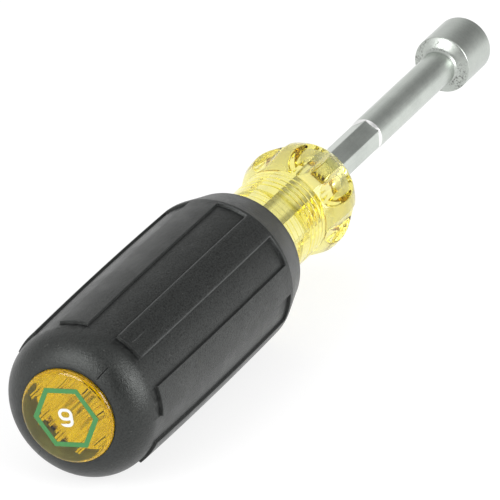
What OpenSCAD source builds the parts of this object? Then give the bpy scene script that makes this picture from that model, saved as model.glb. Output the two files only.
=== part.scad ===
// Nut driver with a cushion grip, in millimetres.
// The tool lies along +X: its butt face is at the origin, its socket opens towards +X, and +Z is up.
// Each piece is drawn with the tool's axis along z and then laid down along +X.
// Angles round the tool run from +Y towards +Z.

/* [Grip] */
// Diameter over the ribs, at their widest place
grip_d = 33.4; // [31:0.1:38]
// Length from the lip round the butt to the front face
grip_len = 74.6; // [60:0.2:100]
// Radius of the rounded butt end
dome_r = 7.15; // [6.5:0.05:9]
// Width of the flat lip between the core and the rounded butt end
lip_land = 0.4; // [0.2:0.1:1]
// Depth of the channels between the ribs
channel_depth = 0.55; // [0.3:0.05:1]
// Step from the rounded butt end up to the channels' floors
floor_step = 0.05; // [0.05:0.01:0.2]
// Radius of the long swell along the ribs
swell_r = 1450; // [700:10:3000]
// Distance from the lip to the widest place of the swell
swell_place = 40.8; // [30:0.2:50]
// Number of ribs
rib_count = 8; // [4:1:12]
// Share of the pitch that a rib takes up, the channel taking the rest
rib_pitch_share = 0.5; // [0.35:0.05:0.65]
// Angle of the middle of the first rib
rib_turn = 34.85; // [0:0.05:45]
// Distance from the lip to the butt ends of the ribs
rib_start = 8; // [7.8:0.1:12]
// Length of the tapered collar in front of the ribs
collar_len = 8.6; // [5:0.1:14]
// Width of the full ring between the channels and the collar
collar_land = 1; // [0.5:0.1:3]
// Diameter of the collar at the grip's front face
collar_front_d = 28.6; // [25:0.1:31]
// Rounding of the collar's front edge
collar_round = 0.8; // [0.4:0.1:1.2]

/* [Core] */
// Diameter of the clear rod
core_d = 19.8; // [18:0.1:21]
// How far the butt face stands out of the grip's lip
butt_stand = 1.2; // [1.1:0.1:2]
// Rounding of the butt face's edge
butt_round = 1.1; // [0.5:0.1:1.1]
// Bare rod between the grip and the first turned ring
neck_len = 13.9; // [8:0.1:24]
// Number of turned rings behind the knob
ring_count = 4; // [1:1:7]
// Distance from one turned ring to the next
ring_pitch = 1.75; // [1.2:0.05:2.2]
// Radius of the groove of a turned ring
ring_r = 0.5; // [0.4:0.05:0.6]
// Depth of the groove of a turned ring
ring_depth = 0.2; // [0.1:0.05:0.3]
// Largest diameter of the knob
knob_d = 23.95; // [22.8:0.05:27]
// Radius of the curve at the back of the knob
knob_back_r = 11.5; // [8:0.1:30]
// Radius of the curve at the front of the knob
knob_front_r = 14.6; // [12:0.1:20]
// Length of the front of the knob, from its widest place
knob_front_len = 7.8; // [5:0.1:9]

/* [Knob flutes] */
// Number of flutes
flute_count = 8; // [3:1:10]
// Radius of a flute's round bottom
flute_r = 4.3; // [2.5:0.1:6]
// Distance from the tool's axis to a flute's bottom
flute_floor_r = 10.1; // [10:0.05:11]
// Angle of the middle of the first flute
flute_turn = 15.25; // [0:0.25:45]

/* [Core keys] */
// Number of grooves that lock the rubber to the core
key_count = 12; // [4:1:16]
// Radius of a groove's round bottom
key_r = 0.8; // [0.5:0.05:1.2]
// Depth of a groove
key_depth = 0.35; // [0.2:0.05:0.5]
// Plain length of the core at each end of the grooves
key_margin = 7; // [4:0.5:12]

/* [Shaft] */
// Size of the hex across its flats
hex_af = 6.35; // [5.6:0.05:6.5]
// Diameter of the round length
shaft_d = 7.4; // [7.1:0.1:9]
// Diameter of the bore that lets a long thread through
bore_d = 5; // [4:0.1:5.2]
// Length of the hex inside the handle
shaft_depth = 40; // [30:1:90]
// Length of the hex between the knob and the round length
hex_len = 26.5; // [15:0.5:40]
// Length of the shaft and socket in front of the knob
shank_len = 76.2; // [60:0.1:150]
// Angle of the hex's first corner
hex_turn = 27.5; // [0:0.5:60]

/* [Socket] */
// Outer diameter
socket_d = 12.7; // [12:0.1:16]
// Length with its shoulder
socket_len = 13.4; // [11.5:0.1:20]
// Length of the cone at the shoulder
shoulder_len = 2.2; // [0.6:0.1:3]
// Width of the flat ring round the shaft, behind the cone
shoulder_land = 0.2; // [0.1:0.05:1]
// Size across the flats of the nut that it turns
nut_af = 9; // [7:0.5:9.5]
// Play round the nut, over both sides
nut_play = 0.08; // [0.02:0.01:0.2]
// Depth of the hex recess
nut_depth = 9.5; // [6:0.1:10.5]
// Size of the bevel that leads a nut in
lead_in = 0.4; // [0.1:0.05:0.6]
// Size of the bevel on the outer edge of the mouth
mouth_bevel = 0.2; // [0.1:0.05:0.5]

/* [Size mark] */
// Corner radius of the printed hexagon
mark_r = 7.15; // [5:0.05:7.5]
// Width of the hexagon's line
mark_line = 1; // [0.4:0.05:1.2]
// Height of the numeral
numeral_h = 3.9; // [3.6:0.1:5.5]
// Width of the numeral
numeral_w = 3.1; // [2.8:0.1:3.5]
// Height of the numeral's bowl
bowl_h = 2.55; // [2:0.05:2.7]
// Width of the numeral's line
numeral_line = 0.65; // [0.3:0.05:0.8]
// Lean of the mark from upright
mark_lean = 10.5; // [0:0.5:60]
// Depth to which the mark is stamped into the butt face
mark_depth = 0.15; // [0.1:0.01:0.3]
// How far the colour lies below the butt face
mark_sink = 0.02; // [0.01:0.01:0.05]

/* [Fits] */
// Gap between the core and the rubber
grip_play = 0.05; // [0.02:0.01:0.1]
// Gap between the shaft and the core
shaft_play = 0.05; // [0.02:0.01:0.1]
// Gap between the shaft and the socket
socket_play = 0.03; // [0.02:0.01:0.1]

/* [Hidden] */
$fn = 96;

// Sides of a hex, lengths that the swell is drawn in, and how far a cut runs past the face that it opens
hex_sides = 6;
swell_steps = 8;
overrun = 1;

core_r = core_d / 2;
knob_r = knob_d / 2;
shaft_r = shaft_d / 2;
socket_r = socket_d / 2;
rib_r = grip_d / 2;
grip_bore_r = core_r + grip_play;

// Places along the grip
lip_z = butt_stand;
rib_z = lip_z + rib_start;
swell_z = lip_z + swell_place;
grip_front_z = lip_z + grip_len;
collar_z = grip_front_z - collar_len;
channel_end_z = collar_z - collar_land;

// Radius of the ribs along the swell
function swelled_r(z) = rib_r - swell_r + sqrt(pow(swell_r, 2) - pow(z - swell_z, 2));

// The rounded butt end rises to just below the channels' floors
barrel_r = swelled_r(rib_z) - channel_depth - floor_step;
dome_centre_r = barrel_r - dome_r;
dome_rise = sqrt(pow(dome_r, 2) - pow(grip_bore_r + lip_land - dome_centre_r, 2));
dome_z = lip_z + dome_rise;

// Places along the core; the knob starts one pitch past the last ring
ring_z = grip_front_z + neck_len;
knob_back_z = ring_z + ring_count * ring_pitch;
knob_rise = knob_r - core_r;
knob_back_len = sqrt(2 * knob_back_r * knob_rise - pow(knob_rise, 2));
knob_mid_z = knob_back_z + knob_back_len;
core_front_z = knob_mid_z + knob_front_len;
key_start_z = key_margin;
key_end_z = grip_front_z - key_margin;

// Places along the shaft and the socket
mouth_z = core_front_z + shank_len;
socket_back_z = mouth_z - socket_len;
nut_floor_z = mouth_z - nut_depth;
shaft_back_z = core_front_z - shaft_depth;
round_z = core_front_z + hex_len;
hex_bevel = shaft_r - hex_af / 2;

// Corner radius of a hex from its size across flats
function corner_r(across_flats) = across_flats / 2 / cos(180 / hex_sides);

// Lays a piece drawn along z down along +X
module along_tool() {
  rotate([90, 0, 90]) children();
}

// Six-sided bar from one place along the axis to another
module hex_bar(across_flats, from_z, to_z) {
  translate([0, 0, from_z])
    rotate(hex_turn)
      cylinder(r = corner_r(across_flats), h = to_z - from_z, $fn = hex_sides);
}

// Round bar from one place along the axis to another
module round_bar(radius, from_z, to_z) {
  translate([0, 0, from_z]) cylinder(r = radius, h = to_z - from_z);
}

// Half section of the core: rod with a rounded butt, turned rings and knob
module core_section() {
  difference() {
    union() {
      polygon([
        [0, 0],
        [core_r - butt_round, 0],
        [core_r, butt_round],
        [core_r, knob_mid_z],
        [0, knob_mid_z],
      ]);
      translate([core_r - butt_round, butt_round]) circle(butt_round);
      intersection() {
        translate([knob_r - knob_back_r, knob_mid_z]) circle(knob_back_r);
        translate([0, knob_back_z]) square([knob_r, knob_back_len]);
      }
      intersection() {
        translate([knob_r - knob_front_r, knob_mid_z]) circle(knob_front_r);
        translate([0, knob_mid_z]) square([knob_r, knob_front_len]);
      }
    }
    for (i = [0 : ring_count - 1]) {
      translate([core_r + ring_r - ring_depth, ring_z + i * ring_pitch]) circle(ring_r);
    }
  }
}

// Round-bottomed flutes that leave ridges round the knob for the fingers
module knob_flutes() {
  for (i = [0 : flute_count - 1]) {
    rotate(flute_turn + i * 360 / flute_count)
      translate([flute_floor_r + flute_r, 0, 0])
        round_bar(flute_r, knob_back_z, core_front_z + overrun);
  }
}

// Bars along the rod where the rubber locks into the core, thinner by the play
module key_bars(play) {
  for (i = [0 : key_count - 1]) {
    rotate(i * 360 / key_count)
      translate([core_r + key_r - key_depth, 0, 0])
        round_bar(key_r - play, key_start_z + play, key_end_z - play);
  }
}

// Line of the printed hexagon
module hexagon_line() {
  rotate(-mark_lean) difference() {
    circle(mark_r, $fn = hex_sides);
    circle(mark_r - corner_r(2 * mark_line), $fn = hex_sides);
  }
}

// Two round ends of one radius and the block between their middles
module oval(end_r, half_gap) {
  for (x = [-half_gap, half_gap]) translate([x, 0]) circle(end_r);
  translate([-half_gap, -end_r]) square([2 * half_gap, 2 * end_r]);
}

// Numeral nine: a flat bowl, a straight side and a tail that curls under it
module numeral_line_shape() {
  bowl_r = bowl_h / 2;
  bowl_y = numeral_h / 2 - bowl_r;
  hole_r = bowl_r - numeral_line;
  half_w = numeral_w / 2;
  half_gap = half_w - bowl_r;
  rotate(-mark_lean) mirror([1, 0]) {
    translate([0, bowl_y]) difference() {
      oval(bowl_r, half_gap);
      oval(hole_r, half_gap);
    }
    translate([half_w - numeral_line, -bowl_y]) square([numeral_line, 2 * bowl_y]);
    translate([0, -bowl_y]) difference() {
      oval(bowl_r, half_gap);
      oval(hole_r, half_gap);
      translate([-half_w, 0]) square([numeral_w, bowl_r]);
      translate([-half_w, -numeral_line]) square([half_w - half_gap, bowl_r]);
    }
  }
}

// Stamps a flat shape into the butt face, from one depth to another
module stamp(from_z, to_z) {
  translate([0, 0, from_z]) linear_extrude(to_z - from_z) children();
}

// Points along the swell from one place to another, sunk below the ribs' height
function swell_line(from_z, to_z, sink) = [
  for (i = [0 : swell_steps])
    let (z = from_z + (to_z - from_z) * i / swell_steps) [swelled_r(z) - sink, z]
];

// Half section of the grip at the ribs: rounded butt, ribs' height and collar
module grip_section() {
  front_r = collar_front_d / 2;
  intersection() {
    translate([dome_centre_r, dome_z]) circle(dome_r);
    translate([grip_bore_r, lip_z]) square([dome_r, dome_rise]);
  }
  polygon(concat(
    [[grip_bore_r, dome_z], [barrel_r, dome_z], [barrel_r, rib_z]],
    swell_line(rib_z, collar_z, 0),
    [
      [front_r, grip_front_z - collar_round],
      [front_r - collar_round, grip_front_z],
      [grip_bore_r, grip_front_z],
    ]
  ));
  translate([front_r - collar_round, grip_front_z - collar_round]) circle(collar_round);
}

// Channels between the ribs, running out over the butt and closed by the ring behind the collar
module grip_channels() {
  pitch = 360 / rib_count;
  rib_angle = rib_pitch_share * pitch;
  open_z = rib_z - overrun;
  open_r = rib_r + overrun;
  for (i = [0 : rib_count - 1]) {
    rotate(rib_turn + rib_angle / 2 + i * pitch)
      rotate_extrude(angle = pitch - rib_angle)
        polygon(concat(
          swell_line(open_z, channel_end_z, channel_depth),
          [[open_r, channel_end_z], [open_r, open_z]]
        ));
  }
}

// Half section of the socket: conical shoulder, straight side and bevelled mouth
module socket_section() {
  polygon([
    [0, socket_back_z],
    [shaft_r + socket_play + shoulder_land, socket_back_z],
    [socket_r, socket_back_z + shoulder_len],
    [socket_r, mouth_z - mouth_bevel],
    [socket_r - mouth_bevel, mouth_z],
    [0, mouth_z],
  ]);
}

module handle_core() {
  color("gold", 0.6) along_tool() difference() {
    rotate_extrude() core_section();
    knob_flutes();
    key_bars(0);
    hex_bar(hex_af + 2 * shaft_play, shaft_back_z - shaft_play, core_front_z + overrun);
    stamp(-overrun, mark_depth) {
      hexagon_line();
      numeral_line_shape();
    }
  }
}

module cushion_grip() {
  color("dimgray") along_tool() {
    difference() {
      rotate_extrude() grip_section();
      grip_channels();
    }
    key_bars(grip_play);
  }
}

module hollow_shaft() {
  color("silver") along_tool() difference() {
    union() {
      hex_bar(hex_af, shaft_back_z, round_z);
      translate([0, 0, round_z - hex_bevel]) cylinder(r1 = hex_af / 2, r2 = shaft_r, h = hex_bevel);
      round_bar(shaft_r, round_z, nut_floor_z);
    }
    round_bar(bore_d / 2, shaft_back_z - overrun, nut_floor_z + overrun);
  }
}

module hex_socket() {
  nut_hole_af = nut_af + nut_play;
  color("gainsboro") along_tool() difference() {
    rotate_extrude() socket_section();
    round_bar(shaft_r + socket_play, socket_back_z - overrun, nut_floor_z + overrun);
    hex_bar(nut_hole_af, nut_floor_z, mouth_z + overrun);
    translate([0, 0, mouth_z - lead_in])
      cylinder(r1 = nut_hole_af / 2, r2 = nut_hole_af / 2 + 2 * lead_in, h = 2 * lead_in);
  }
}

module size_hexagon() {
  color("seagreen") along_tool() stamp(mark_sink, mark_depth) hexagon_line();
}

module size_numeral() {
  color("white") along_tool() stamp(mark_sink, mark_depth) numeral_line_shape();
}

handle_core();
cushion_grip();
hollow_shaft();
hex_socket();
size_hexagon();
size_numeral();
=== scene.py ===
import math

import bmesh
import bpy
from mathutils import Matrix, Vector


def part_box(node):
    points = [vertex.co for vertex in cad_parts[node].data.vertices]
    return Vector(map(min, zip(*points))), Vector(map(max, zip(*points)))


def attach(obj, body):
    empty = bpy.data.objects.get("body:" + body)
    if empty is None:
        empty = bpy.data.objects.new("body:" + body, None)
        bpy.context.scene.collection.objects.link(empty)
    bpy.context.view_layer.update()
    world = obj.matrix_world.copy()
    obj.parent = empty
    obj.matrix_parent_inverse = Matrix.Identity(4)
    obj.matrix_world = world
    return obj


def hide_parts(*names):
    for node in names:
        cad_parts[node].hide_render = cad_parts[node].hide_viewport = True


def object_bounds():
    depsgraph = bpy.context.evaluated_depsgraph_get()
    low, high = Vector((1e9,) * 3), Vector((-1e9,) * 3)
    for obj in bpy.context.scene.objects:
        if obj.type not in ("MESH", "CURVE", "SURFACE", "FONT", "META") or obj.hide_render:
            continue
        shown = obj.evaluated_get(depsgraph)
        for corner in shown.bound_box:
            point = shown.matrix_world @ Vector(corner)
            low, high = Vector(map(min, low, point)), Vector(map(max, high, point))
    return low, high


# Nut driver with a cushion grip, in metres. The tool lies along +X with its butt face at the origin.
# Angles round the tool run from +Y towards +Z.
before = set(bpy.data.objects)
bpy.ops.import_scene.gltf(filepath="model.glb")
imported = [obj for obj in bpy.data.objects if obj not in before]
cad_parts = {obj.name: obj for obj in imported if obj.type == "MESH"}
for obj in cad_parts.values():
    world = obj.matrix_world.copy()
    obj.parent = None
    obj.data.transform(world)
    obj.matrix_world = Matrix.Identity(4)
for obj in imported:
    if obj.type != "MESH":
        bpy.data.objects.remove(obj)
cad_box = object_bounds()

MM = 0.001
FULL_TURN = 2 * math.pi

# Distance at which two points are one, and the radius inside which a point is on the axis
MERGE_DISTANCE = 1e-7
AXIS_R = 1e-6

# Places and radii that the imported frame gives
grip_low, grip_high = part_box("cushion_grip")
core_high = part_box("handle_core")[1]
shaft_low, shaft_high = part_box("hollow_shaft")
socket_low, socket_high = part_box("hex_socket")
LIP_X = grip_low.x
GRIP_FRONT_X = grip_high.x
RIB_R = grip_high.z
KNOB_FRONT_X = core_high.x
KNOB_R = core_high.z
SHAFT_BACK_X = shaft_low.x
NUT_FLOOR_X = shaft_high.x
SOCKET_BACK_X = socket_low.x
SOCKET_R = socket_high.z
MOUTH_X = socket_high.x

# Grip: bore, rounded butt, ribs along their swell, tapered collar and the channels between the ribs
GRIP_BORE_R = 9.95 * MM
LIP_LAND = 0.4 * MM
LIP_EDGE = 0.12 * MM
DOME_R = 7.15 * MM
RIB_X = LIP_X + 8 * MM
RIB_COUNT = 8
RIB_SHARE = 0.5
RIB_TURN = math.radians(34.85)
SWELL_R = 1450 * MM
SWELL_X = LIP_X + 40.8 * MM
COLLAR_X = GRIP_FRONT_X - 8.6 * MM
COLLAR_FRONT_R = 14.3 * MM
COLLAR_ROUND = 0.8 * MM
COLLAR_BREAK = 0.03 * MM
CHANNEL_DEPTH = 0.55 * MM
CHANNEL_END_X = COLLAR_X - 1 * MM
CHANNEL_CORNER = 0.3 * MM

# Softness and unevenness of the ribs' edges, width of the marks along them, and spacing of their rows
EDGE_WIDTH = 0.09 * MM
EDGE_WANDER = 0.12 * MM
LINE_WIDTH = 0.16 * MM
END_ROW_STEP = 0.05 * MM
SIDE_ROW_STEP = 0.045 * MM

# Line that the mould left along the grip: its angle, width and unevenness, its crack and its ridge
SEAM_TURN = math.radians(124.2)
SEAM_WIDTH = 0.09 * MM
SEAM_WANDER = 0.4 * MM
CRACK_LEN = 2.4 * MM
RIDGE_LEN = 9 * MM

# Core: butt face, turned rings, knob between a back and a front arc, flutes round the knob, and key
# grooves along the hidden length
CORE_R = 9.9 * MM
BUTT_SINK = 0.03 * MM
BUTT_ROUND = 1.1 * MM
RING_X = GRIP_FRONT_X + 13.9 * MM
RING_COUNT = 4
RING_PITCH = 1.75 * MM
RING_R = 0.5 * MM
RING_DEPTH = 0.2 * MM
KNOB_BACK_R = 11.5 * MM
KNOB_FRONT_R = 14.6 * MM
KNOB_BACK_X = RING_X + RING_COUNT * RING_PITCH
KNOB_MID_X = KNOB_FRONT_X - 7.8 * MM
KNOB_EDGE = 0.3 * MM
FACED_R = 6.6 * MM
FLUTE_COUNT = 8
FLUTE_R = 4.3 * MM
FLUTE_FLOOR_R = 10.1 * MM
FLUTE_SOFTNESS = 0.5 * MM
FLUTE_TURN = math.radians(15.25)
KEY_COUNT = 12
KEY_R = 0.8 * MM
KEY_DEPTH = 0.35 * MM
KEY_MARGIN = 7 * MM
KEY_STEP = 0.02 * MM
KEY_START_X = KEY_MARGIN
KEY_END_X = GRIP_FRONT_X - KEY_MARGIN

# Hold between rubber and core: bonded from the lip inwards, then a painted reflection of the air gap with
# streaks of bond
BOND_BITE = 0.02 * MM
BOND_R = CORE_R - BOND_BITE
BOND_END_X = 11.5 * MM
GAP_REFLECTION_X = BOND_END_X + 1 * MM
STREAK_END_X = 46 * MM

# Depth into the rubber over which the marks of the bond and of the bore fade
BOND_FADE = 0.01 * MM
BORE_FADE = 0.1 * MM

# Shaft and socket, with the slope of the socket's shoulder in degrees
HEX_AF = 6.35 * MM
HEX_TURN = math.radians(27.5)
HEX_CORNER_CUT = 0.06 * MM
SHAFT_PLAY = 0.05 * MM
SHAFT_R = 3.7 * MM
BORE_R = 2.5 * MM
ROUND_X = KNOB_FRONT_X + 26.5 * MM
BEVEL_LEN = SHAFT_R - HEX_AF / 2
SHOULDER_LEN = 2.2 * MM
SHOULDER_FILLET = 1.4 * MM
SHOULDER_ROUND = 0.35 * MM
SHOULDER_SLOPE = 50
NUT_AF = 9.08 * MM
LEAD_IN = 0.4 * MM
MOUTH_BEVEL = 0.2 * MM
SOCKET_PLAY = 0.03 * MM
SOCKET_HOLE_R = SHAFT_R + SOCKET_PLAY

# Points round each turned piece, in multiples of six so that hex corners fall on points
CORE_SIDES = 396
SHAFT_SIDES = 300
SOCKET_SIDES = 240

# Colours of the rubber, its painted edge highlight and crease shade, its hold on the core and the gap's
# painted reflection
RUBBER_BLACK = (0.001, 0.0012, 0.0012, 1)
RUBBER_GREY = (0.0155, 0.0168, 0.016, 1)
RUBBER_SHEEN = (0.96, 1, 0.97, 1)
EDGE_HIGHLIGHT_GREY = (0.1, 0.103, 0.102, 1)
DULL_DARK = (0.003, 0.003, 0.003, 1)
DUST = (0.14, 0.14, 0.13, 1)
BOND_DARK = (0.25, 0.31, 0.25, 1)
BOND_PALE = (0.36, 0.45, 0.33, 1)
GAP_REFLECTION_YELLOW = (0.87, 0.875, 0.64, 1)

# Colours of the acetate at its surface, and of light that has gone deep into it
ACETATE_CLEAR = (0.975, 0.972, 0.905, 1)
ACETATE_SCUFFED = (0.95, 0.94, 0.865, 1)
ACETATE_FACED = (1, 1, 0.97, 1)
ACETATE_DEEP = (0.953, 0.892, 0.0, 1)
ACETATE_DENSITY = 60.0
ACETATE_IOR = 1.47

# Colours of the steel inside the handle, painted brighter, of the painted shade in its hex corners, of the
# forged shoulder and of the painted highlight on the bevels
HELD_STEEL = (0.93, 0.93, 0.9, 1)
HEX_CORNER_SHADE = (0.25, 0.24, 0.18, 1)
FORGED_SPECK = (0.12, 0.12, 0.115, 1)
BEVEL_HIGHLIGHT = (0.95, 0.95, 0.94, 1)

# Colours of the two foils, thick and thin
GREEN_FOIL = (0.05, 0.235, 0.066, 1)
GREEN_FOIL_THIN = (0.075, 0.245, 0.066, 1)
WHITE_FOIL = (0.78, 0.8, 0.8, 1)
WHITE_FOIL_THIN = (0.72, 0.73, 0.7, 1)

# Camera: where it looks, from which side, from how far and with how long a lens
AIM = Vector((0.0805, 0, 0))
AIM_RIGHT = 0.516 * MM
AIM_DOWN = 0.553 * MM
CAMERA_SIDE = Vector((-0.8039, -0.3865, 0.4524)).normalized()
CAMERA_DISTANCE = 1.363
CAMERA_NEAR = 0.01
CAMERA_FAR = 20
LENS = 486.5
SENSOR = 36

# Studio: its brightness, and the two sides where it is dim, beyond the tip and behind the camera
STUDIO_LEVEL = 0.82
TIP_DIM_SIDE = Vector((0.804, -0.237, 0.546)).normalized()
TIP_DIM_REACH = math.radians(42)
TIP_DIM_LEVEL = 0.26
CAMERA_DIM_REACH = math.radians(38)
CAMERA_DIM_LEVEL = 0.06
DIM_FALLOFF = 1.1

# Soft boxes: one at the camera's right and one at its left
LAMP_DISTANCE = 1.0
RIGHT_SIDE = Vector((-0.05, -0.91, 0.41)).normalized()
RIGHT_LAMP_SIZE = 0.7
RIGHT_LAMP_POWER = 6.4
LEFT_SIDE = Vector((-0.855, 0.25, 0.454)).normalized()
LEFT_LAMP_SIZE = 0.6
LEFT_LAMP_POWER = 5.2

# Floor: its reach, its grey as a lit surface and as a seen one, and the glow that makes it white
FLOOR_REACH = 4.0
FLOOR_GREY = 0.8
FLOOR_SEEN_GREY = 0.3
FLOOR_GLOW = 0.76
FLOOR_THROUGH_SHARE = 0.6

# Bounces that light needs to get through the clear handle, and between the steel's faces
LIGHT_BOUNCES = 40
GLOSS_BOUNCES = 24


class Wire:
    """An output socket. Sums of wires and numbers add Math nodes to the wire's own graph."""

    def __init__(self, graph, socket):
        self.graph = graph
        self.socket = socket

    def math(self, operation, *values):
        return self.graph.node("ShaderNodeMath", {"operation": operation}, dict(enumerate(values)))

    def __add__(self, other):
        return self.math("ADD", self, other)

    def __radd__(self, other):
        return self.math("ADD", other, self)

    def __sub__(self, other):
        return self.math("SUBTRACT", self, other)

    def __rsub__(self, other):
        return self.math("SUBTRACT", other, self)

    def __mul__(self, other):
        return self.math("MULTIPLY", self, other)

    def __rmul__(self, other):
        return self.math("MULTIPLY", other, self)

    def __truediv__(self, other):
        return self.math("DIVIDE", self, other)

    def __rtruediv__(self, other):
        return self.math("DIVIDE", other, self)

    def __pow__(self, other):
        return self.math("POWER", self, other)

    def __rpow__(self, other):
        return self.math("POWER", other, self)

    def __neg__(self):
        return self.math("MULTIPLY", self, -1)

    def __abs__(self):
        return self.math("ABSOLUTE", self)

    def least(self, other):
        return self.math("MINIMUM", self, other)

    def most(self, other):
        return self.math("MAXIMUM", self, other)

    def of(self, operation):
        return self.math(operation, self)

    def bell(self):
        """1 where this wire is zero, falling to nothing about two units away."""
        return (-(self ** 2)).of("EXPONENT")

    def ease(self, low, high, start=0.0, end=1.0):
        """Goes smoothly from start to end as this wire goes from low to high."""
        return self.graph.node(
            "ShaderNodeMapRange",
            {"interpolation_type": "SMOOTHSTEP"},
            {"Value": self, "From Min": low, "From Max": high, "To Min": start, "To Max": end},
        )

    def out(self, name):
        """Another output of the same node, by name or identifier."""
        return Wire(self.graph, pick(self.socket.node.outputs, name))


class Graph:
    """A node tree that is built in code."""

    def __init__(self, tree):
        self.tree = tree
        tree.nodes.clear()

    def node(self, kind, settings=None, sockets=None):
        """Adds a node, sets its settings, then its sockets' values or links. Gives its first output."""
        made = self.tree.nodes.new(kind)
        for name, value in (settings or {}).items():
            setattr(made, name, value)
        for name, value in (sockets or {}).items():
            socket = made.inputs[name] if isinstance(name, int) else pick(made.inputs, name)
            if isinstance(value, Wire):
                self.tree.links.new(value.socket, socket)
            else:
                socket.default_value = value
        shown = [s for s in made.outputs if s.enabled]
        return Wire(self, shown[0]) if shown else None

    def place(self):
        """The surface's own place on the tool."""
        return self.node("ShaderNodeTexCoord").out("Object")

    def mark(self, name):
        """A value that a rule has stored on the mesh."""
        return self.node("ShaderNodeAttribute", {"attribute_name": name}).out("Fac")

    def split(self, vector):
        """The three parts of a vector."""
        x = self.node("ShaderNodeSeparateXYZ", {}, {"Vector": vector})
        return x, x.out("Y"), x.out("Z")

    def blend(self, factor, first, second):
        """Mixes two colours by a factor."""
        return self.node(
            "ShaderNodeMix",
            {"data_type": "RGBA"},
            {"Factor_Float": factor, "A_Color": first, "B_Color": second},
        ).out("Result_Color")

    def noise(self, vector, scale, detail, roughness):
        return self.node(
            "ShaderNodeTexNoise",
            {},
            {"Vector": vector, "Scale": scale, "Detail": detail, "Roughness": roughness},
        )

    def stretched(self, vector, scale):
        """A vector multiplied part by part, for grain that runs one way."""
        return self.node("ShaderNodeVectorMath", {"operation": "MULTIPLY"}, {0: vector, 1: scale})

    def bump(self, height, distance, strength):
        return self.node(
            "ShaderNodeBump", {}, {"Height": height, "Distance": distance, "Strength": strength}
        )


def pick(sockets, name):
    """The socket with that identifier, or else the first one in use with that name."""
    for socket in sockets:
        if socket.identifier == name:
            return socket
    return next(s for s in sockets if s.name == name and s.enabled)


def grey(level):
    return (level, level, level, 1)


def new_object(name, data):
    """An object in the scene that shows a mesh, a lamp or a camera."""
    made = bpy.data.objects.new(name, data)
    bpy.context.scene.collection.objects.link(made)
    return made


# Materials

def new_material(name):
    """An empty material and its graph."""
    material = bpy.data.materials.new(name)
    material.use_nodes = True
    return material, Graph(material.node_tree)


def finish_material(graph, sockets, volume=None):
    """Adds the shader with its constants and links, and the material's output."""
    shader = graph.node("ShaderNodeBsdfPrincipled", {}, sockets)
    ends = {"Surface": shader}
    if volume is not None:
        ends["Volume"] = volume
    graph.node("ShaderNodeOutputMaterial", {}, ends)


def grip_rubber():
    """Black rubber: fine moulded grain, cloudy handling marks, dust, a mould line, painted highlights
    along the rib edges, painted shade in the creases and a painted reflection on the bore.
    """
    material, graph = new_material("grip_rubber")
    place = graph.place()
    x, y, z = graph.split(place)
    edge, crease, bond, gap_reflection = [graph.mark(name) for name in ("edge", "crease", "bond", "gap_reflection")]
    outside = 1 - gap_reflection

    grain = graph.noise(place, scale=3000, detail=3, roughness=0.65)
    clouds = graph.noise(place, scale=130, detail=5, roughness=0.65)
    cloudy = clouds.ease(0.42, 0.66)
    smears = graph.noise(graph.stretched(place, (140, 900, 900)), scale=1, detail=3, roughness=0.6)
    ragged = graph.noise(place, scale=1500, detail=3, roughness=0.7).ease(0.3, 0.6)
    dust = graph.node("ShaderNodeTexVoronoi", {}, {"Vector": place, "Scale": 620}).out("Distance")
    speck = dust.ease(0.05, 0.1, 1, 0)

    # Line left by the two halves of the mould: cracked beside the lip, raised where a rib begins
    off_seam = y * math.sin(SEAM_TURN) - z * math.cos(SEAM_TURN) + (clouds - 0.5) * SEAM_WANDER
    seam = (off_seam / SEAM_WIDTH).bell()
    crack = seam * (x - LIP_X).ease(0.05 * MM, 0.3 * MM) * (LIP_X + CRACK_LEN - x).ease(0, 0.8 * MM)
    ridge = seam * (x - RIB_X - 0.5 * MM).ease(0, 1 * MM) * (RIB_X + RIDGE_LEN - x).ease(0, 6 * MM)

    # The two ribs on that line get the strongest painted highlight along their edges, and less painted
    # shade on their walls
    seam_ribs = abs(off_seam).ease(4 * MM, 8 * MM, 1, 0) * (x - RIB_X).ease(0, 1.5 * MM)
    painted_edge_highlight = (edge * (0.22 + seam_ribs * 0.58)).most(ridge * 0.25)

    # Painted shade in creases; the crack and the pits of the grain, which are shallow on the butt, are
    # darkened too
    pits = grain.ease(0.36, 0.52, 0.32, 0) * (x - RIB_X).ease(-2 * MM, 0, 0.35, 1)
    dull = (crease * (0.45 + ragged * 0.5) * (1 - seam_ribs * 0.6)).most(crack * 0.8).most(pits)

    tone = cloudy * 0.18 + smears.ease(0.4, 0.75) * 0.12 + grain.ease(0.36, 0.64) * 0.7
    colour = graph.blend(tone, RUBBER_BLACK, RUBBER_GREY)
    # Painted highlight along the rib edges, strongest on the ribs by the mould line, and faint on the
    # mould's ridge
    colour = graph.blend(painted_edge_highlight, colour, EDGE_HIGHLIGHT_GREY)
    # Painted shade: creases, the crack and the pits of the grain go dark
    colour = graph.blend(dull, colour, DULL_DARK)
    colour = graph.blend(speck * 0.35, colour, DUST)
    colour = graph.blend(bond, colour, graph.blend(cloudy, BOND_DARK, BOND_PALE))
    # Painted reflection: away from the bond, the bore is a pale yellow mirror for the light that the air
    # gap sends back into the core
    colour = graph.blend(gap_reflection, colour, GAP_REFLECTION_YELLOW)
    height = grain + clouds * 0.7 + speck * 0.2 + smears * 0.3 - crack * 2 + ridge * 0.8
    finish_material(graph, {
        "Base Color": colour,
        # Metallic black takes the gloss out of the painted shade; metallic pale yellow turns the bore's
        # painted reflection into a mirror
        "Metallic": gap_reflection.most(dull),
        "Roughness": 0.2 + outside * (0.05 + (1 - cloudy) * 0.08 + grain * 0.1 + crease * 0.3),
        "Specular IOR Level": 0.6,
        "Specular Tint": RUBBER_SHEEN,
        "Normal": graph.bump(height * outside, distance=0.12 * MM, strength=0.7),
    })
    return material


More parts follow.
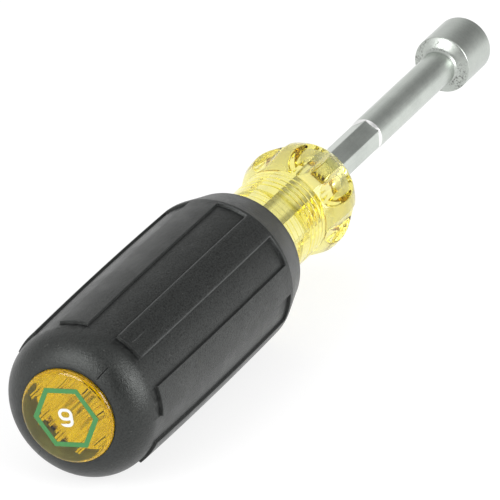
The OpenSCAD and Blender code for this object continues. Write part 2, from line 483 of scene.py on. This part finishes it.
def clear_acetate():
    """Clear yellow plastic, deeper where it is thick: flow marks in the grip and a turned matte nose."""
    material, graph = new_material("clear_acetate")
    place = graph.place()
    x, y, z = graph.split(place)
    flow = graph.noise(graph.stretched(place, (25, 1600, 1600)), scale=1, detail=2, roughness=0.5)
    inside = (x - LIP_X - 1 * MM).ease(0, 1 * MM) * (GRIP_FRONT_X - 2 * MM - x).ease(0, 4 * MM)
    scuff = graph.noise(place, scale=900, detail=3, roughness=0.65)
    faced = (x - KNOB_FRONT_X).ease(-0.2 * MM, -0.1 * MM)
    faced = faced * (y * y + z * z).of("SQRT").ease(FACED_R, FACED_R + 0.3 * MM, 1, 0)
    colour = graph.blend(scuff.ease(0.55, 0.8), ACETATE_CLEAR, ACETATE_SCUFFED)
    volume = graph.node(
        "ShaderNodeVolumeAbsorption", {}, {"Color": ACETATE_DEEP, "Density": ACETATE_DENSITY}
    )
    finish_material(graph, {
        "Base Color": graph.blend(faced, colour, ACETATE_FACED),
        "Roughness": 0.02 + scuff.ease(0.5, 0.85) * 0.04 + faced * 0.5,
        "IOR": ACETATE_IOR,
        "Transmission Weight": 1.0,
        "Normal": graph.bump(flow * inside, distance=0.05 * MM, strength=0.15),
    }, volume)
    return material


def satin_chrome(name, grain_scale, dark, pale):
    """Satin chrome plate over drawn or turned steel; the grain scale says which way its lines run."""
    material, graph = new_material(name)
    place = graph.place()
    x, y, z = graph.split(place)
    lines = graph.noise(graph.stretched(place, grain_scale), scale=1, detail=4, roughness=0.65)
    pits = graph.noise(place, scale=2200, detail=4, roughness=0.7)
    haze = graph.noise(place, scale=150, detail=4, roughness=0.6)
    tone = lines.ease(0.3, 0.7) * 0.25 + haze.ease(0.3, 0.7) * 0.4 + pits.ease(0.3, 0.7) * 0.35
    colour = graph.blend(tone, (dark, dark * 1.07, dark, 1), (pale, pale * 1.06, pale * 0.99, 1))

    # Painted shade along the corners of the hex, inside the handle
    turns = [HEX_TURN + i * FULL_TURN / 6 for i in range(3)]
    off_corners = [abs(y * math.sin(t) - z * math.cos(t)) for t in turns]
    off_corner = off_corners[0].least(off_corners[1]).least(off_corners[2])
    held = (KNOB_FRONT_X - 1 * MM - x).ease(0, 2 * MM)
    corner_shade = off_corner.ease(0.35 * MM, 1.1 * MM, 1, 0) * held
    # Painted light: inside the handle, the chrome is painted as a brighter copy of itself
    colour = graph.blend(held, colour, HELD_STEEL)
    colour = graph.blend(corner_shade * (0.45 + haze * 0.5), colour, HEX_CORNER_SHADE)

    # Forged slope on the socket's shoulder, with patches of dark specks
    slope = (x - SOCKET_BACK_X).ease(0.5 * MM, 1 * MM)
    slope = slope * (SOCKET_BACK_X + SHOULDER_LEN + 0.1 * MM - x).ease(0, 0.25 * MM)
    patches = graph.noise(place, scale=260, detail=1, roughness=0.5).ease(0.4, 0.6)
    specks = graph.noise(place, scale=2100, detail=3, roughness=0.7).ease(0.5, 0.6) * patches
    colour = graph.blend(slope * (0.12 + specks * 0.7), colour, FORGED_SPECK)

    # Painted highlight: bright bevels where the hex runs into the round
    soft = 0.02 * MM
    bevel = (x - ROUND_X + BEVEL_LEN).ease(-soft, soft) * (ROUND_X - x).ease(-soft, soft)
    colour = graph.blend(bevel, colour, BEVEL_HIGHLIGHT)
    finish_material(graph, {
        "Base Color": colour,
        "Metallic": 1.0,
        "Roughness": 0.27 + tone * 0.1 + pits.ease(0.55, 0.8) * 0.1 - held * 0.14 + slope * 0.06,
        "Normal": graph.bump(lines * 0.5 + pits, distance=0.01 * MM, strength=0.5),
    })
    return material


def stamped_foil(name, colour, thin_colour):
    """Stamped colour with a slight orange-peel surface and thin places."""
    material, graph = new_material(name)
    place = graph.place()
    thin = graph.noise(place, scale=1700, detail=3, roughness=0.6)
    cover = graph.noise(place, scale=420, detail=2, roughness=0.5)
    finish_material(graph, {
        "Base Color": graph.blend(thin.ease(0.45, 0.8) * 0.6 + cover * 0.2, colour, thin_colour),
        "Roughness": 0.45 + cover * 0.15,
        "Normal": graph.bump(thin, distance=0.02 * MM, strength=0.3),
    })
    return material


# Turned blanks

def spaced(start, end, steps):
    """Numbers from start to end in even steps, both ends included."""
    return [start + (end - start) * (i / steps) for i in range(steps + 1)]


def both_ways(steps):
    """Steps to either side of zero, in order, with zero itself."""
    return [-s for s in reversed(steps)] + [0] + list(steps)


def arc(centre_x, centre_r, radius, start, end, steps):
    """Points (x, radius) along an arc. Angles in degrees run from +X towards outward."""
    turns = [math.radians(degrees) for degrees in spaced(start, end, steps)]
    return [(centre_x + radius * math.cos(t), centre_r + radius * math.sin(t)) for t in turns]


def run(start, end, steps):
    """Points (x, radius) in a straight line, both ends included."""
    return list(zip(spaced(start[0], end[0], steps), spaced(start[1], end[1], steps)))


def joined(*stretches):
    """One outline from several, without the points that repeat."""
    points = []
    for stretch in stretches:
        for point in stretch:
            if not points or math.dist(points[-1], point) > MERGE_DISTANCE:
                points.append(point)
    return points


def hex_radius(across_flats, angle):
    """Distance from the axis to a hex's side at an angle round the tool."""
    sixth = FULL_TURN / 6
    to_corner = (angle - HEX_TURN) % sixth
    return across_flats / 2 / math.cos(to_corner - sixth / 2)


def even_angles(count, first):
    """Angles round the tool in even steps."""
    return [first + FULL_TURN * i / count for i in range(count)]


def turned(name, rows, angles, closed):
    """A mesh object from rows (x, radius or function of the angle), turned round the tool's axis."""
    mesh = bpy.data.meshes.new(name)
    points = []
    for x, radius in rows:
        for angle in angles:
            r = radius(angle) if callable(radius) else radius
            points.append((x, r * math.cos(angle), r * math.sin(angle)))
    across = len(angles)
    faces = []
    for i in range(len(rows) if closed else len(rows) - 1):
        here, ahead = i * across, (i + 1) % len(rows) * across
        for j in range(across):
            k = (j + 1) % across
            faces.append((here + j, here + k, ahead + k, ahead + j))
    mesh.from_pydata(points, [], faces)
    tidy_mesh(mesh)
    return new_object(name, mesh)


def tidy_mesh(mesh):
    """Merges doubled points, drops the faces that this empties and turns all faces outwards."""
    shape = bmesh.new()
    shape.from_mesh(mesh)
    bmesh.ops.remove_doubles(shape, verts=shape.verts, dist=MERGE_DISTANCE)
    bmesh.ops.dissolve_degenerate(shape, edges=shape.edges, dist=MERGE_DISTANCE)
    bmesh.ops.recalc_face_normals(shape, faces=shape.faces)
    shape.to_mesh(mesh)
    shape.free()


def smooth_faces(piece, sharp_degrees):
    """Shades a piece smooth, with a crease where faces meet at more than that angle."""
    mesh = piece.data
    mesh.shade_smooth()
    mesh.set_sharp_from_angle(angle=math.radians(sharp_degrees))


# Geometry Nodes rules

def new_rule(name, inputs):
    """An empty rule with named inputs. Gives the graph and its inputs as wires."""
    tree = bpy.data.node_groups.new(name, "GeometryNodeTree")
    graph = Graph(tree)
    tree.interface.new_socket("Geometry", in_out="INPUT", socket_type="NodeSocketGeometry")
    for label in inputs:
        tree.interface.new_socket(label, in_out="INPUT", socket_type="NodeSocketFloat")
    tree.interface.new_socket("Material", in_out="INPUT", socket_type="NodeSocketMaterial")
    tree.interface.new_socket("Geometry", in_out="OUTPUT", socket_type="NodeSocketGeometry")
    entry = graph.node("NodeGroupInput")
    return graph, {s.name: Wire(graph, s) for s in entry.socket.node.outputs if s.name}


def end_rule(graph, geometry, material):
    """Ends a rule with real geometry in one material."""
    whole = graph.node("GeometryNodeRealizeInstances", {}, {"Geometry": geometry})
    painted = graph.node("GeometryNodeSetMaterial", {}, {"Geometry": whole, "Material": material})
    graph.node("NodeGroupOutput", {}, {"Geometry": painted})


def round_parts(graph, position):
    """Place along the tool, the two cross parts, distance from the axis and angle round it."""
    x, y, z = graph.split(position)
    radius = (y * y + z * z).of("SQRT").most(AXIS_R)
    return x, y, z, radius, z.math("ARCTAN2", z, y)


def move_to_radius(graph, geometry, x, y, z, radius, new_radius):
    """Moves points straight out from the tool's axis, or in towards it."""
    share = new_radius / radius
    place = graph.node("ShaderNodeCombineXYZ", {}, {"X": x, "Y": y * share, "Z": z * share})
    return graph.node("GeometryNodeSetPosition", {}, {"Geometry": geometry, "Position": place})


def off_middle(angle, first, count):
    """Angle from the middle of the nearest of several equal steps round the tool."""
    pitch = FULL_TURN / count
    turn = angle - first
    return turn - (turn / pitch).of("ROUND") * pitch


def rib_rule():
    """Sinks channels between the ribs of a turned grip, and marks painted edge highlights, painted crease
    shade, the bond and the gap's painted reflection.
    """
    graph, given = new_rule("rib_rule", [
        "Rib count", "Rib share", "First rib", "Rib radius", "Rib start", "Swell radius", "Swell middle",
        "Channel depth", "Channel end", "Channel corner", "Edge width", "Edge wander", "Line width",
        "Bond radius", "Gap reflection start", "Streak end",
    ])
    position = graph.node("GeometryNodeInputPosition")
    x, y, z, radius, angle = round_parts(graph, position)
    turn = off_middle(angle, given["First rib"], given["Rib count"])
    rib_half = given["Rib share"] * math.pi / given["Rib count"]
    wander = (graph.noise(position, scale=700, detail=2, roughness=0.6) - 0.5) * given["Edge wander"]
    side = (abs(turn) - rib_half) * radius
    end = given["Channel end"] - x
    depth_in = side.math("SMOOTH_MIN", side, end, given["Channel corner"]) + wander
    in_channel = (depth_in / given["Edge width"]).ease(-1, 1)
    along = x - given["Swell middle"]
    floor = given["Rib radius"] - along * along / (given["Swell radius"] * 2) - given["Channel depth"]
    sunk = radius - in_channel * (radius - floor).most(0)

    # Painted highlight lines along the ribs' edges, and painted shade at the foot of their walls and at
    # their butt ends
    from_wall = depth_in / given["Line width"]
    from_butt = (x - given["Rib start"]) / given["Line width"]
    past_butt = from_butt.ease(-1, 1)
    on_rib = 1 - in_channel
    edge = (from_wall + 0.7).bell() * past_butt
    butt_edge = (from_butt - 0.7).bell() * on_rib
    wall_shade = (from_wall / 1.5 - 0.4).bell() * past_butt
    patchy = graph.noise(position, scale=650, detail=3, roughness=0.7).ease(0.35, 0.6)
    near_shade = (from_butt / 3 + 0.8).bell() * (0.55 + patchy * 0.45)
    wide_shade = (from_butt / 8 + 0.9).bell() * patchy * 0.6
    crease = (wall_shade * 0.45).most(near_shade.most(wide_shade) * on_rib)

    # Streaks on the bore where the rubber has taken hold of the core, and a painted reflection of the air
    # gap between them
    bore = given["Bond radius"]
    outside = radius.ease(bore + BORE_FADE, bore + 3 * BORE_FADE)
    past_bond = x - given["Gap reflection start"]
    reflecting = past_bond.ease(0, 0.5 * MM)
    streak = graph.noise(graph.stretched(position, (60, 900, 900)), scale=1, detail=1, roughness=0.5)
    reach = past_bond.ease(0, 2 * MM) * (given["Streak end"] - x).ease(0, 6 * MM)
    hold = streak.ease(0.66, 0.69) * reach * (1 - outside)
    gripped = sunk - hold * (sunk - bore).most(0)

    shaped = move_to_radius(graph, given["Geometry"], x, y, z, radius, gripped)
    marks = {
        "edge": edge.most(butt_edge * 0.3) * outside,
        "crease": crease * outside,
        "bond": radius.ease(bore + BOND_FADE, bore + 4 * BOND_FADE, 1, 0) * (1 - reflecting),
        "gap_reflection": (1 - outside) * reflecting * (1 - hold),
    }
    for name, value in marks.items():
        shaped = graph.node(
            "GeometryNodeStoreNamedAttribute",
            {"data_type": "FLOAT", "domain": "POINT"},
            {"Geometry": shaped, "Name": name, "Value": value},
        )
    end_rule(graph, shaped, given["Material"])
    return graph.tree


def knob_rule():
    """Cuts round-bottomed flutes round the knob, and key grooves along the hidden length of the core."""
    graph, given = new_rule("knob_rule", [
        "Flute count", "Flute radius", "Flute floor", "First flute", "Flute start", "Flute softness",
        "Key count", "Key radius", "Key centre", "Key start", "Key end",
    ])
    x, y, z, radius, angle = round_parts(graph, graph.node("GeometryNodeInputPosition"))

    def groove_floor(turn, centre, groove):
        across = centre * turn.of("SINE")
        chord = (groove * groove - across * across).most(0)
        return centre * turn.of("COSINE") - chord.of("SQRT")

    flute_turn = off_middle(angle, given["First flute"], given["Flute count"])
    flute_centre = given["Flute floor"] + given["Flute radius"]
    flute = groove_floor(flute_turn, flute_centre, given["Flute radius"])
    fluted = radius.math("SMOOTH_MIN", radius, flute, given["Flute softness"])
    on_knob = x.math("GREATER_THAN", x, given["Flute start"])
    fluted = radius + (fluted - radius) * on_knob

    # Outside the key grooves' length their floor is lifted clear of the core
    key_turn = off_middle(angle, 0.0, given["Key count"])
    key = groove_floor(key_turn, given["Key centre"], given["Key radius"])
    before = x.math("LESS_THAN", x, given["Key start"])
    past = x.math("GREATER_THAN", x, given["Key end"])
    keyed = fluted.least(key + before + past)
    shaped = move_to_radius(graph, given["Geometry"], x, y, z, radius, keyed)
    end_rule(graph, shaped, given["Material"])
    return graph.tree


def follow_rule(blank, tree, values):
    """Runs a rule on a blank and keeps the result as the blank's own plain mesh."""
    rule = blank.modifiers.new("rule", "NODES")
    rule.node_group = tree
    for item in tree.interface.items_tree:
        if item.in_out == "INPUT" and item.name in values:
            rule[item.identifier] = values[item.name]
    done = blank.evaluated_get(bpy.context.evaluated_depsgraph_get())
    mesh = bpy.data.meshes.new_from_object(done)
    blank.modifiers.remove(rule)
    blank.data = mesh
    tidy_mesh(mesh)


# Pieces

def rib_angles():
    """Angles round the grip, close together at the walls of the ribs."""
    pitch = FULL_TURN / RIB_COUNT
    half = RIB_SHARE * pitch / 2
    step = SIDE_ROW_STEP / RIB_R
    wall = [step * n for n in both_ways((0.8, 1.5, 2.2, 3, 4, 5.5, 8))]
    across = [-half + w for w in wall]
    across += [half * s for s in both_ways((0.22, 0.45, 0.7))]
    across += [half + w for w in wall]
    across += [half + (pitch - 2 * half) * (0.5 + s) for s in both_ways((0.11, 0.23, 0.35))]
    return [RIB_TURN + i * pitch + a for i in range(RIB_COUNT) for a in sorted(across)]


def swelled(x):
    """Radius of the ribs along their swell."""
    return RIB_R - (x - SWELL_X) ** 2 / (2 * SWELL_R)


def rib_rows():
    """Places along the grip of the rows on the ribs, close together at both ends of the channels."""
    step = END_ROW_STEP
    places = [RIB_X + step * n for n in (3, 5, 8)]
    places += spaced(RIB_X + 20 * step, CHANNEL_END_X - 20 * step, 40)
    places += [CHANNEL_END_X + step * n for n in both_ways((0.8, 1.5, 2.2, 3, 4, 5, 7, 10))]
    places += [COLLAR_X - step * n for n in (8, 5, 3)]
    return places


def make_grip():
    """The rubber sleeve: a turned blank with bore, butt, ribs and collar, cut by the rib rule."""
    step = END_ROW_STEP
    barrel_r = swelled(RIB_X) - CHANNEL_DEPTH
    dome_centre_r = barrel_r - DOME_R
    lip_rise = GRIP_BORE_R + LIP_LAND - dome_centre_r
    dome_x = LIP_X + math.sqrt(DOME_R ** 2 - lip_rise ** 2)
    dome_start = 180 - math.degrees(math.asin(lip_rise / DOME_R))
    collar_r = swelled(COLLAR_X)
    round_x = GRIP_FRONT_X - COLLAR_ROUND
    round_r = COLLAR_FRONT_R - COLLAR_ROUND
    rise_shares = [(-6, 0), (-3, 0), (-1.6, 0.03), (-1, 0.12), (-0.4, 0.36)]
    rise_shares += [(-n, 1 - s) for n, s in reversed(rise_shares[2:])]
    outline = joined(
        run((GRIP_FRONT_X, GRIP_BORE_R), (GAP_REFLECTION_X, GRIP_BORE_R), 84),
        run((BOND_END_X, BOND_R), (LIP_X + LIP_LAND, BOND_R), 6),
        [(LIP_X + LIP_EDGE * 2 / 3, BOND_R), (LIP_X + LIP_EDGE / 6, CORE_R + LIP_EDGE / 3)],
        [(LIP_X, CORE_R + LIP_EDGE)],
        arc(dome_x, dome_centre_r, DOME_R, dome_start, 90, 26),
        [(RIB_X + step * n, barrel_r + CHANNEL_DEPTH * s) for n, s in rise_shares],
        [(x, swelled(x)) for x in rib_rows()],
        [(COLLAR_X + step * n, collar_r - COLLAR_BREAK * s) for n, s in ((-1, 0.1), (0, 0.5), (1, 1))],
        run((COLLAR_X + 6 * step, collar_r - 3 * COLLAR_BREAK), (round_x, COLLAR_FRONT_R), 8),
        arc(round_x, round_r, COLLAR_ROUND, 90, 0, 8),
        run((GRIP_FRONT_X, round_r), (GRIP_FRONT_X, GRIP_BORE_R + 0.1 * MM), 3),
    )
    grip = turned("cushion_grip_rubber", outline, rib_angles(), True)
    follow_rule(grip, rib_rule(), {
        "Rib count": float(RIB_COUNT),
        "Rib share": RIB_SHARE,
        "First rib": RIB_TURN,
        "Rib radius": RIB_R,
        "Rib start": RIB_X,
        "Swell radius": SWELL_R,
        "Swell middle": SWELL_X,
        "Channel depth": CHANNEL_DEPTH,
        "Channel end": CHANNEL_END_X,
        "Channel corner": CHANNEL_CORNER,
        "Edge width": EDGE_WIDTH,
        "Edge wander": EDGE_WANDER,
        "Line width": LINE_WIDTH,
        "Bond radius": BOND_R,
        "Gap reflection start": GAP_REFLECTION_X,
        "Streak end": STREAK_END_X,
        "Material": grip_rubber(),
    })
    smooth_faces(grip, 50)
    return grip


def turned_rings():
    """Outline of the fine grooves behind the knob."""
    places = [RING_X + i * RING_PITCH for i in range(RING_COUNT)]
    centre_r = CORE_R + RING_R - RING_DEPTH
    reach = math.degrees(math.acos((RING_R - RING_DEPTH) / RING_R))
    return [p for x in places for p in arc(x, centre_r, RING_R, 270 - reach, 270 + reach, 8)]


def make_core():
    """The acetate rod: a turned blank with rings, knob and hex tunnel, cut by the knob rule."""
    tunnel_af = HEX_AF + 2 * SHAFT_PLAY
    tunnel_end_x = SHAFT_BACK_X - SHAFT_PLAY
    back_centre_r = KNOB_R - KNOB_BACK_R
    back_start = 180 - math.degrees(math.acos((KNOB_MID_X - KNOB_BACK_X) / KNOB_BACK_R))
    front_centre_r = KNOB_R - KNOB_FRONT_R
    front_reach = KNOB_FRONT_X - KNOB_EDGE - KNOB_MID_X
    front_end = math.degrees(math.acos(front_reach / KNOB_FRONT_R))
    front_r = front_centre_r + math.sqrt(KNOB_FRONT_R ** 2 - front_reach ** 2)
    face_r = front_r - 1.5 * KNOB_EDGE
    edge_middle = (KNOB_FRONT_X - 0.12 * MM, face_r + 0.22 * MM)

    def tunnel(angle):
        return hex_radius(tunnel_af, angle)

    def face_row(share):
        return lambda angle: tunnel(angle) * (1 - share) + face_r * share

    def floor_row(share):
        return lambda angle: tunnel(angle) * share

    rows = joined(
        run((BUTT_SINK, 0.0), (BUTT_SINK, CORE_R - BUTT_ROUND), 6),
        arc(BUTT_SINK + BUTT_ROUND, CORE_R - BUTT_ROUND, BUTT_ROUND, 180, 90, 12),
        run((2 * MM, CORE_R), (KEY_START_X, CORE_R), 5),
        run((KEY_START_X + KEY_STEP, CORE_R), (KEY_END_X - KEY_STEP, CORE_R), 24),
        run((KEY_END_X, CORE_R), (RING_X - RING_R, CORE_R), 12),
        turned_rings(),
        arc(KNOB_MID_X, back_centre_r, KNOB_BACK_R, back_start, 90, 34),
        arc(KNOB_MID_X, front_centre_r, KNOB_FRONT_R, 90, front_end, 30),
        [edge_middle, (KNOB_FRONT_X, face_r)],
    )
    rows += [(KNOB_FRONT_X, face_row(s)) for s in (0.75, 0.5, 0.25, 0.06)]
    rows += [(x, tunnel) for x in spaced(KNOB_FRONT_X - KNOB_EDGE / 2, tunnel_end_x, 30)]
    rows += [(tunnel_end_x, floor_row(s)) for s in (0.66, 0.33, 0.0)]
    core = turned("handle_core_acetate", rows, even_angles(CORE_SIDES, HEX_TURN), False)
    follow_rule(core, knob_rule(), {
        "Flute count": float(FLUTE_COUNT),
        "Flute radius": FLUTE_R,
        "Flute floor": FLUTE_FLOOR_R,
        "First flute": FLUTE_TURN,
        "Flute start": KNOB_BACK_X,
        "Flute softness": FLUTE_SOFTNESS,
        "Key count": float(KEY_COUNT),
        "Key radius": KEY_R,
        "Key centre": CORE_R + KEY_R - KEY_DEPTH,
        "Key start": KEY_START_X + KEY_STEP / 2,
        "Key end": KEY_END_X - KEY_STEP / 2,
        "Material": clear_acetate(),
    })
    smooth_faces(core, 40)
    return core


def make_shaft():
    """The bored steel shaft: hexagonal at its back, bevelled into the round in front."""
    corner_r = hex_radius(HEX_AF, HEX_TURN) - HEX_CORNER_CUT

    def hexed(angle):
        return min(hex_radius(HEX_AF, angle), corner_r)

    def bevelled(x):
        cone = min(HEX_AF / 2 + x - (ROUND_X - BEVEL_LEN), SHAFT_R)
        return lambda angle: max(hexed(angle), cone)

    def hex_end(share):
        return lambda angle: hexed(angle) * (1 - share) + BORE_R * share

    rows = [(x, BORE_R) for x in spaced(NUT_FLOOR_X, SHAFT_BACK_X, 30)]
    rows += [(SHAFT_BACK_X, hex_end(s)) for s in (0.6, 0.3, 0.0)]
    rows += [(x, hexed) for x in spaced(SHAFT_BACK_X + 1 * MM, ROUND_X - 1.2 * BEVEL_LEN, 40)]
    rows += [(x, bevelled(x)) for x in spaced(ROUND_X - BEVEL_LEN, ROUND_X, 14)]
    rows += [(x, SHAFT_R) for x in spaced(ROUND_X + 0.05 * MM, NUT_FLOOR_X, 30)]
    shaft = turned("hollow_shaft_steel", rows, even_angles(SHAFT_SIDES, HEX_TURN), True)
    finish = satin_chrome("drawn_chrome", grain_scale=(60, 3000, 3000), dark=0.5, pale=0.66)
    shaft.data.materials.append(finish)
    smooth_faces(shaft, 22)
    return shaft


def shoulder(rim_x):
    """Outline from the shaft up to the socket's rim: a hollow fillet, a slope and a rounded rim."""
    lean = 90 - SHOULDER_SLOPE
    foot_r = SHAFT_R + 0.01 * MM
    hollow = arc(SOCKET_BACK_X, foot_r + SHOULDER_FILLET, SHOULDER_FILLET, 270, 360 - lean, 10)
    crest = arc(rim_x + 0.2 * MM, SOCKET_R - SHOULDER_ROUND, SHOULDER_ROUND, 180 - lean, 90, 6)
    return joined(hollow, run(hollow[-1], crest[0], 5), crest)


def make_socket():
    """The steel socket: a sloped shoulder, a bevelled mouth and a hex recess with a lead-in."""
    rim_x = SOCKET_BACK_X + SHOULDER_LEN
    side_end_x = MOUTH_X - MOUTH_BEVEL

    def recess(x):
        cone = NUT_AF / 2 + max(0.0, x - (MOUTH_X - LEAD_IN))
        return lambda angle: max(hex_radius(NUT_AF, angle), cone)

    def floor_row(share):
        return lambda angle: SOCKET_HOLE_R * (1 - share) + hex_radius(NUT_AF, angle) * share

    rows = joined(
        [(NUT_FLOOR_X, SOCKET_HOLE_R)],
        run((NUT_FLOOR_X - 0.2 * MM, SOCKET_HOLE_R), (SOCKET_BACK_X + 0.1 * MM, SOCKET_HOLE_R), 4),
        shoulder(rim_x),
        run((rim_x + 0.5 * MM, SOCKET_R), (side_end_x - 0.05 * MM, SOCKET_R), 12),
        [(side_end_x, SOCKET_R), (MOUTH_X - 0.06 * MM, SOCKET_R - 0.12 * MM)],
        [(MOUTH_X, SOCKET_R - MOUTH_BEVEL), (MOUTH_X, SOCKET_R - 2 * MOUTH_BEVEL)],
    )
    rows += [(MOUTH_X, recess(MOUTH_X))]
    rows += [(x, recess(x)) for x in spaced(MOUTH_X - 0.03 * MM, MOUTH_X - 1.4 * MM, 24)]
    rows += [(x, recess(x)) for x in spaced(MOUTH_X - 2 * MM, NUT_FLOOR_X, 6)]
    rows += [(NUT_FLOOR_X, floor_row(s)) for s in (0.6, 0.3)]
    socket = turned("hex_socket_steel", rows, even_angles(SOCKET_SIDES, HEX_TURN), True)
    finish = satin_chrome("turned_chrome", grain_scale=(3000, 90, 90), dark=0.46, pale=0.6)
    socket.data.materials.append(finish)
    smooth_faces(socket, 30)
    return socket


# Stage

def make_floor():
    """Pale floor under the lowest ribs. It shows as white, and keeps the tool's shadow."""
    mesh = bpy.data.meshes.new("floor")
    corners = [(-1, -1), (1, -1), (1, 1), (-1, 1)]
    points = [(x * FLOOR_REACH, y * FLOOR_REACH, cad_box[0].z) for x, y in corners]
    mesh.from_pydata(points, [], [(0, 1, 2, 3)])
    floor = new_object("floor", mesh)
    material, graph = new_material("pale_floor")
    path = graph.node("ShaderNodeLightPath")
    through = path.out("Is Transmission Ray") * FLOOR_THROUGH_SHARE
    seen = path.most(path.out("Is Glossy Ray")).most(through)
    paint = graph.blend(seen, grey(FLOOR_GREY), grey(FLOOR_SEEN_GREY))
    matte = graph.node("ShaderNodeBsdfDiffuse", {}, {"Color": paint})
    glow = graph.node("ShaderNodeEmission", {}, {"Color": grey(FLOOR_GLOW), "Strength": seen})
    both = graph.node("ShaderNodeAddShader", {}, {0: matte, 1: glow})
    graph.node("ShaderNodeOutputMaterial", {}, {"Surface": both})
    mesh.materials.append(material)


def make_studio():
    """White surroundings, dim beyond the tip and behind the camera. The camera itself sees plain white."""
    world = bpy.data.worlds.new("studio")
    bpy.context.scene.world = world
    world.use_nodes = True
    graph = Graph(world.node_tree)
    look = graph.node("ShaderNodeTexCoord").out("Generated")

    def dim(side, reach):
        toward = graph.node(
            "ShaderNodeVectorMath", {"operation": "DOT_PRODUCT"}, {0: look, 1: tuple(side)}
        ).out("Value")
        edge = math.cos(reach)
        return ((toward - edge) / (1 - edge)).most(0) ** DIM_FALLOFF

    path = graph.node("ShaderNodeLightPath")
    seen = path.most(path.out("Is Transmission Ray"))
    studio = graph.blend(dim(TIP_DIM_SIDE, TIP_DIM_REACH), grey(STUDIO_LEVEL), grey(TIP_DIM_LEVEL))
    studio = graph.blend(dim(CAMERA_SIDE, CAMERA_DIM_REACH), studio, grey(CAMERA_DIM_LEVEL))
    colour = graph.blend(seen, studio, grey(1.0))
    light = graph.node("ShaderNodeBackground", {}, {"Color": colour, "Strength": 1.0})
    graph.node("ShaderNodeOutputWorld", {}, {"Surface": light})


def make_lamp(name, side, size, power):
    """A round soft box that shines on the tool from one side."""
    data = bpy.data.lights.new(name, "AREA")
    data.shape = "DISK"
    data.size = size
    data.energy = power
    lamp = new_object(name, data)
    lamp.rotation_mode = "QUATERNION"
    lamp.rotation_quaternion = side.to_track_quat("Z", "Y")
    lamp.location = AIM + LAMP_DISTANCE * side


def make_camera():
    """A long lens at the photograph's viewing angle."""
    data = bpy.data.cameras.new("camera")
    data.lens = LENS
    data.sensor_width = SENSOR
    data.clip_start = CAMERA_NEAR
    data.clip_end = CAMERA_FAR
    camera = new_object("camera", data)
    turn = CAMERA_SIDE.to_track_quat("Z", "Y")
    right = turn @ Vector((1, 0, 0))
    up = turn @ Vector((0, 1, 0))
    middle = AIM + AIM_RIGHT * right - AIM_DOWN * up
    camera.rotation_mode = "QUATERNION"
    camera.rotation_quaternion = turn
    camera.location = middle + CAMERA_DISTANCE * CAMERA_SIDE
    bpy.context.scene.camera = camera


def set_render():
    """Colours as they are, and enough bounces for clear plastic and steel."""
    scene = bpy.context.scene
    scene.view_settings.view_transform = "Standard"
    scene.cycles.max_bounces = LIGHT_BOUNCES
    scene.cycles.transmission_bounces = LIGHT_BOUNCES
    scene.cycles.glossy_bounces = GLOSS_BOUNCES
    scene.cycles.use_denoising = True


make_camera()
make_studio()
make_lamp("right_soft_box", RIGHT_SIDE, RIGHT_LAMP_SIZE, RIGHT_LAMP_POWER)
make_lamp("left_soft_box", LEFT_SIDE, LEFT_LAMP_SIZE, LEFT_LAMP_POWER)
make_floor()
set_render()

# Each modelled piece, the solid that it stands for and the finish that it takes
modelled = [
    (make_grip(), "cushion_grip", "grip_rubber"),
    (make_core(), "handle_core", "clear_acetate"),
    (make_shaft(), "hollow_shaft", "satin_chrome"),
    (make_socket(), "hex_socket", "satin_chrome"),
]
for piece, node_name, slot_name in modelled:
    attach(piece, "root")
    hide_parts(node_name)

# The two stamped marks keep their solids, with the foil's own finish
foils = {
    "size_hexagon": stamped_foil("green_foil", GREEN_FOIL, GREEN_FOIL_THIN),
    "size_numeral": stamped_foil("white_foil", WHITE_FOIL, WHITE_FOIL_THIN),
}
for node_name, foil in foils.items():
    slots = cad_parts[node_name].data.materials
    slots.clear()
    slots.append(foil)
